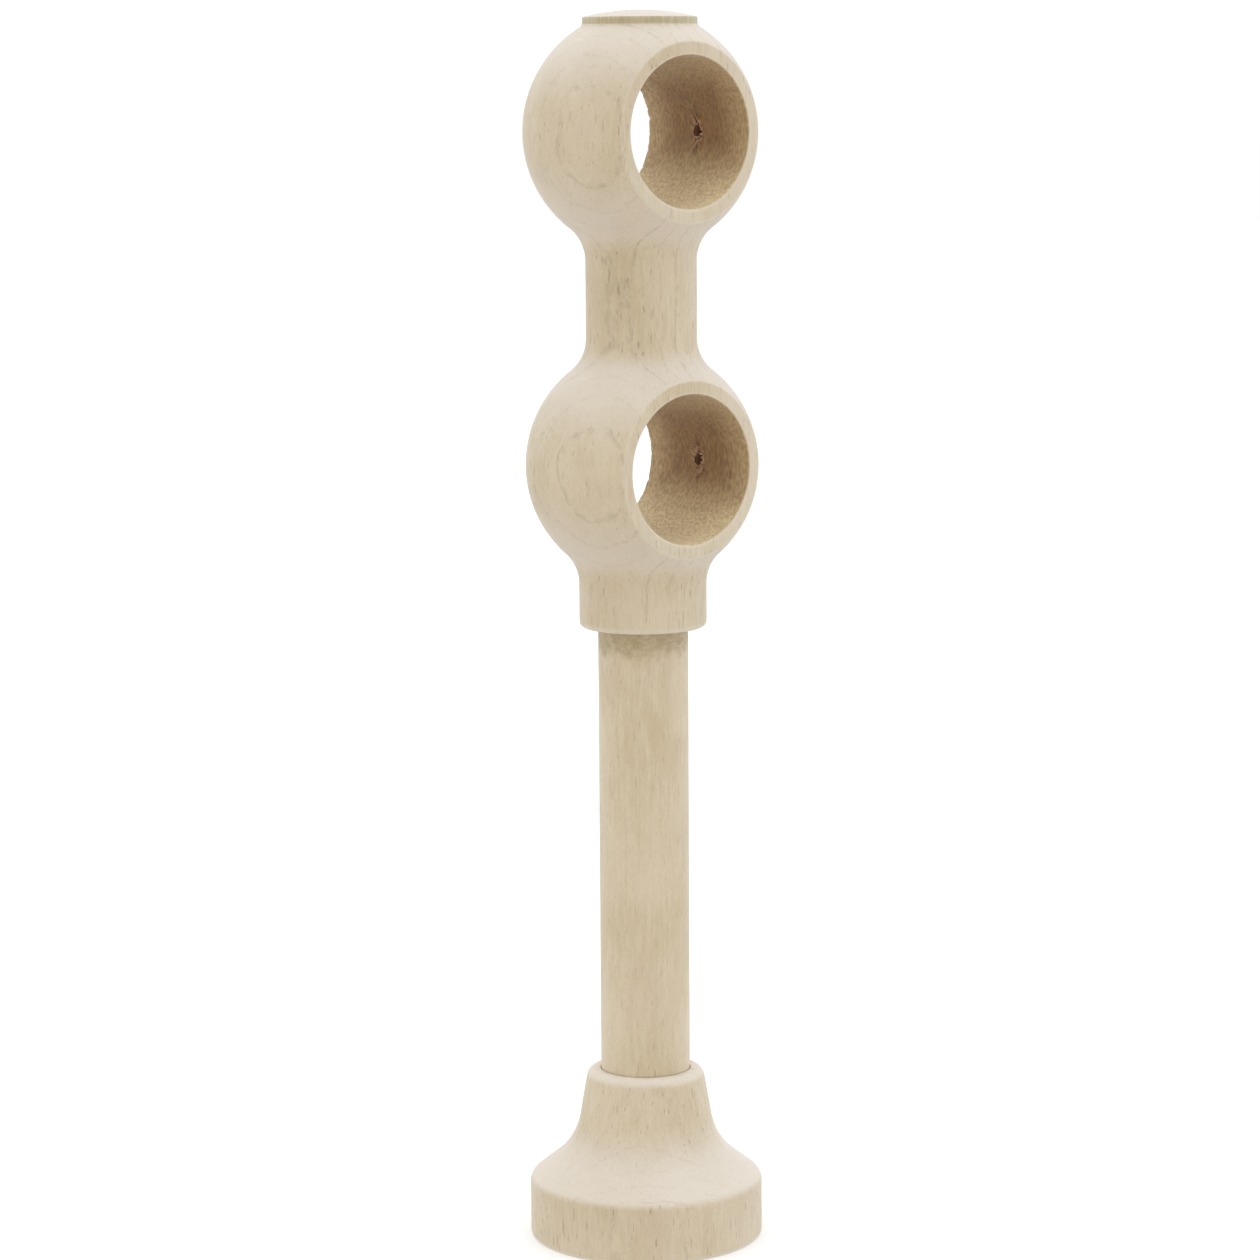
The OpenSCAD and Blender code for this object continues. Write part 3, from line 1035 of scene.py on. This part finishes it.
def lit_flat_round_eye(nodes, eye, colour):
    """The flat round a bore, paler below and on the screws' side as painted light."""
    flat = nodes.fade(nodes.size(eye.x), HALF_THICK - 0.5, HALF_THICK - 0.1)
    below = nodes.fade(eye.rise, -1.0, -14.0, 0.0, 0.30)
    beside = nodes.fade(eye.y, 3.0, 14.0, 0.0, 0.45)
    near = nodes.fade(eye.across, FLAT_REACH + 2.0, FLAT_REACH)
    return nodes.mix(nodes.times(flat, nodes.most(below, beside), near), colour, PALE_WEAR_AND_LIGHT)


def button_band(nodes, z, scrape, colour):
    """A darker band round the button's side."""
    base = EYES["upper"] + math.sqrt(BALL_ARC_R ** 2 - (BUTTON_R + BALL_SHIFT) ** 2)
    band = nodes.fade(z, base + 0.1, base + 0.35)
    band = nodes.times(band, nodes.fade(z, TOP_Z - 1.35, TOP_Z - 1.6))
    band = nodes.times(band, nodes.fade(scrape, 0.3, 0.7, 0.35, 0.8))
    return nodes.mix(band, colour, BAND)


def head_finish(nodes, place, colour, height):
    """The drilled bores with painted shade and light, their screw holes with painted shade, the flats
    with painted light, and the button's band.
    """
    scrape = nodes.noise(nodes.stretch(place, 1.9, 1.9, 0.33), 3, 0.6)
    fuzz = nodes.noise(nodes.stretch(place, 1.9, 1.9, 0.75), 3, 0.6)
    pores = flecks(nodes, nodes.vector("ADD", place, (5.0, 3.0, 60.0)), 1.5, 9.0, 0.16)
    for eye_z in EYES.values():
        eye = EyePlace(nodes, place, eye_z)
        colour = shaded_drilled_wall(nodes, eye, scrape, fuzz, colour)
        height = nodes.plus(height, nodes.times(eye.inside, fuzz, 0.8))
        colour = nodes.mix(nodes.times(pores, eye.inside, 0.5), colour, CRACK)
        colour = screw_hole(nodes, eye, scrape, fuzz, colour)
        colour = lit_flat_round_eye(nodes, eye, colour)
    return button_band(nodes, nodes.split(place)[2], scrape, colour), height


def stem_finish(nodes, place, colour, height):
    """A glue stain with painted shadow under the collar, and a darker joint line with painted shade
    where the stem enters the rose's mouth.
    """
    z = nodes.split(place)[2]
    # A glue stain with painted shadow, reaching down the stem from under the collar.
    drip = nodes.noise(nodes.stretch(place, 0.42, 0.42, 0.30), 3, 0.6)
    lower_edge = nodes.plus(z, nodes.times(drip, 6.5))
    glue_and_shadow = nodes.fade(lower_edge, COLLAR_Z - 2.6, COLLAR_Z + 0.2)
    patch = nodes.noise(nodes.stretch(place, 0.6, 0.6, 1.1), 3, 0.65)
    glue_and_shadow = nodes.times(glue_and_shadow, nodes.fade(patch, 0.3, 0.65, 0.25, 0.7))
    colour = nodes.mix(glue_and_shadow, colour, GLUE_AND_SHADOW)
    # A darker joint line with painted shade just above the rose's lip.
    joint_line_and_shade = nodes.fade(z, ROSE_H + 0.35, ROSE_H - 0.05)
    return nodes.mix(nodes.times(joint_line_and_shade, 0.3), colour, JOINT_LINE_AND_SHADE), height


def rose_finish(nodes, place, colour, height):
    """Turning marks on the rose's underside, and painted shade in its bore where the stem sits."""
    x, y, z = nodes.split(place)
    across = nodes.radius(x, y)
    under = nodes.fade(z, 0.15, 0.02)
    groove = nodes.math("SINE", nodes.times(across, TURN / TURNING_MARK))
    height = nodes.plus(height, nodes.times(under, groove, 0.5))
    # Painted shade: the rose's bore darkened where the stem sits in it.
    bore = nodes.fade(across, SOCKET_R + 0.25, SOCKET_R + 0.02)
    return nodes.mix(nodes.times(bore, 0.25), colour, JOINT_LINE_AND_SHADE), height


def torn_wood(name):
    """Fresh torn fibres: redder than the drilled wall, streaked along each fibre."""
    material, nodes, shader = new_material(name)
    streaks = nodes.noise(nodes.stretch(nodes.object_place(), 6.0, 6.0, 1.1), 2, 0.6)
    colour = nodes.mix(nodes.fade(streaks, 0.35, 0.65), TORN_DARK, TORN_PALE)
    # Convex fibre edges paler: partly wear, partly a painted highlight.
    worn_and_lit_edge = nodes.fade(nodes.attribute("edge"), 0.55, 0.85, 0.0, 0.35)
    colour = nodes.mix(worn_and_lit_edge, colour, PALE_WEAR_AND_LIGHT)
    rough = nodes.fade(streaks, 0.2, 0.8, 0.65, 0.85)
    coat(nodes, shader, colour, rough, nodes.bump(streaks, 0.05))
    return material


def metal(name, base, dull, shine, stretch):
    """Plated or bare metal: fine scratches, duller hollows, bright worn edges."""
    material, nodes, shader = new_material(name)
    place = nodes.object_place()
    film = nodes.noise(nodes.stretch(place, 0.9, 0.9, 0.9), 3, 0.6)
    scratch = nodes.noise(nodes.stretch(place, *stretch), 2, 0.6)
    colour = nodes.mix(nodes.fade(film, 0.35, 0.68), dull, base)
    hollow = nodes.fade(nodes.attribute("edge"), 0.46, 0.36)
    colour = nodes.mix(nodes.times(hollow, 0.65), colour, tuple(part * 0.35 for part in dull))
    worn_and_lit_edge = nodes.fade(nodes.attribute("edge"), 0.57, 0.75)
    colour = nodes.mix(nodes.times(worn_and_lit_edge, 0.7), colour, shine)
    rough = nodes.plus(nodes.fade(film, 0.3, 0.7, 0.24, 0.42), nodes.times(scratch, 0.14))
    coat(nodes, shader, colour, rough, nodes.bump(scratch, 0.012))
    shader.inputs["Metallic"].default_value = 1.0
    return material


def floor_finish():
    """A plain pale studio floor with a barely visible variation."""
    material, nodes, shader = new_material("studio_floor")
    cloud = nodes.noise(nodes.stretch(nodes.object_place(), 0.004, 0.004, 0.004), 3, 0.5)
    colour = nodes.mix(cloud, (0.86, 0.86, 0.86), (0.90, 0.90, 0.89))
    coat(nodes, shader, colour, nodes.fade(cloud, 0.2, 0.8, 0.75, 0.9), nodes.bump(cloud, 0.2))
    shader.inputs["Specular IOR Level"].default_value = 0.1
    shader.inputs["Emission Color"].default_value = (1.0, 1.0, 1.0, 1.0)
    shader.inputs["Emission Strength"].default_value = FLOOR_GLOW
    return material


# ---- The studio: the camera in metres and radians, its lens and the floor in millimetres ----

CAMERA_AZIMUTH = math.radians(50.83)
CAMERA_BACK = 0.7515
CAMERA_ASIDE = 0.000876
CAMERA_HEIGHT = 0.2333
CAMERA_DOWN = 0.145
CAMERA_YAW = -0.00465
CAMERA_ROLL = 0.00624
CAMERA_LENS = 108.89
SENSOR_WIDTH = 36

FLOOR_HALF = 4000
FLOOR_Z = -0.05
FLOOR_STEPS = 4
FLOOR_GLOW = 0.10

FRONT_LIGHT = (0.66, 0.60, 0.49)
BACK_LIGHT = (1.12, 1.14, 1.16)
RIGHT_LIGHT = (1.17, 1.21, 1.31)
TOP_LIGHT = (1.40, 1.43, 1.48)
FRONT_BOUNCE = (0.96, 0.90, 0.80)
BACK_BOUNCE = (1.00, 1.01, 1.01)


def set_camera():
    """The main camera: azimuth 51 degrees, looking about 8 degrees down."""
    data = bpy.data.cameras.new("camera")
    camera = bpy.data.objects.new("camera", data)
    bpy.context.collection.objects.link(camera)
    data.sensor_width = SENSOR_WIDTH
    data.lens = CAMERA_LENS
    spot = Vector((CAMERA_ASIDE, -CAMERA_BACK, CAMERA_HEIGHT))
    stand = Matrix.Rotation(CAMERA_AZIMUTH, 4, "Z") @ spot
    aim = (
        Matrix.Rotation(CAMERA_AZIMUTH - CAMERA_YAW, 4, "Z")
        @ Matrix.Rotation(PI / 2 - CAMERA_DOWN, 4, "X")
        @ Matrix.Rotation(-CAMERA_ROLL, 4, "Z")
    )
    camera.matrix_world = Matrix.Translation(stand) @ aim
    bpy.context.scene.camera = camera


def set_floor():
    """A wide pale floor just under the rose, which throws no light back at it."""
    skin = Skin()
    spots = [-FLOOR_HALF + 2 * FLOOR_HALF * i / FLOOR_STEPS for i in range(FLOOR_STEPS + 1)]
    skin.grid([[(x, y, FLOOR_Z) for x in spots] for y in spots])
    floor = skin.finish("studio_floor")
    floor.data.materials.append(floor_finish())
    floor.visible_diffuse = False


def set_light():
    """A soft white tent: bright overhead, behind and on the right, dimmer in front."""
    world = bpy.data.worlds.new("soft_studio")
    bpy.context.scene.world = world
    nodes = Nodes(world)
    way = nodes.vector("NORMALIZE", nodes.new("ShaderNodeTexCoord").outputs["Generated"])
    up = nodes.split(way)[2]
    toward = (math.sin(CAMERA_AZIMUTH), -math.cos(CAMERA_AZIMUTH), 0)
    aside = (math.cos(CAMERA_AZIMUTH), math.sin(CAMERA_AZIMUTH), 0)
    front = nodes.fade(nodes.vector("DOT_PRODUCT", way, toward), -0.30, 0.80)
    right = nodes.fade(nodes.vector("DOT_PRODUCT", way, aside), 0.25, 0.95, 0.0, 0.8)
    sides = nodes.mix(right, nodes.mix(front, BACK_LIGHT, FRONT_LIGHT), RIGHT_LIGHT)
    sky = nodes.mix(nodes.fade(up, 0.25, 0.85), sides, TOP_LIGHT)
    below = nodes.mix(front, BACK_BOUNCE, FRONT_BOUNCE)
    sky = nodes.mix(nodes.fade(up, 0.0, -0.02), sky, below)
    background = nodes.tree.nodes["Background"]
    nodes.feed(background.inputs["Color"], sky)
    background.inputs["Strength"].default_value = 1.0
    bpy.context.scene.view_settings.view_transform = "Standard"


# ---- Putting it together ----

def make_wood():
    """The three turned pieces and the torn fibres in the pole bores."""
    head = build_head()
    stem = build_stem()
    rose = build_rose()
    for piece in (head, stem, rose):
        wear_surface(piece, SURFACE_WEAR)
        soften(piece, WOOD_CREASE)
        mark_edges(piece, 0.55, 2)
    head_beech = wood(
        "head_beech", head_finish, seed=(0, 0, 0), pith=(24.0, -51.0), gap=3.4,
        ring_share=0.30, mark_share=1.0, light=0.985,
    )
    stem_beech = wood(
        "stem_beech", stem_finish, seed=(40, 11, 300), pith=(45.0, -38.0), gap=2.6,
        ring_share=0.06, mark_share=0.5, light=1.03,
    )
    rose_beech = wood(
        "rose_beech", rose_finish, seed=(90, 70, 800), pith=(-38.0, 30.0), gap=2.8,
        ring_share=0.20, mark_share=1.0, light=1.0,
    )
    dress(head, "bracket", "head_wood", head_beech, "double_eye_head")
    dress(stem, "bracket", "stem_wood", stem_beech, "stem_dowel")
    dress(rose, "bracket", "rose_wood", rose_beech, "wall_rose")
    fresh = torn_wood("torn_beech")
    for eye, seed, chips in (("upper", 11, UPPER_CHIPS), ("lower", 5, LOWER_CHIPS)):
        fibres = build_torn_fibres("torn_fibres_" + eye, EYES[eye], seed, chips)
        soften(fibres, FIBRE_CREASE)
        mark_edges(fibres, 0.05, 1)
        dress(fibres, "bracket", "head_wood", fresh)


def make_metal():
    """The insert in the stem's end and the two locking screws."""
    brass = metal("brass", (0.73, 0.54, 0.26), (0.52, 0.36, 0.16), (0.90, 0.75, 0.45), (6, 6, 0.8))
    steel = metal("zinc_steel", (0.62, 0.63, 0.64), (0.42, 0.43, 0.45), (0.82, 0.83, 0.84), (9, 0.8, 9))
    insert = build_insert()
    soften(insert, METAL_CREASE)
    mark_edges(insert, 0.08, 1)
    dress(insert, "bracket", "insert_brass", brass, "threaded_insert")
    for eye, z in EYES.items():
        screw = build_screw("pan_head_screw_" + eye, z)
        soften(screw, METAL_CREASE)
        mark_edges(screw, 0.05, 1)
        dress(screw, eye + "_screw", "screw_steel", steel, "lock_screw_" + eye)


set_camera()
set_floor()
set_light()
make_wood()
make_metal()
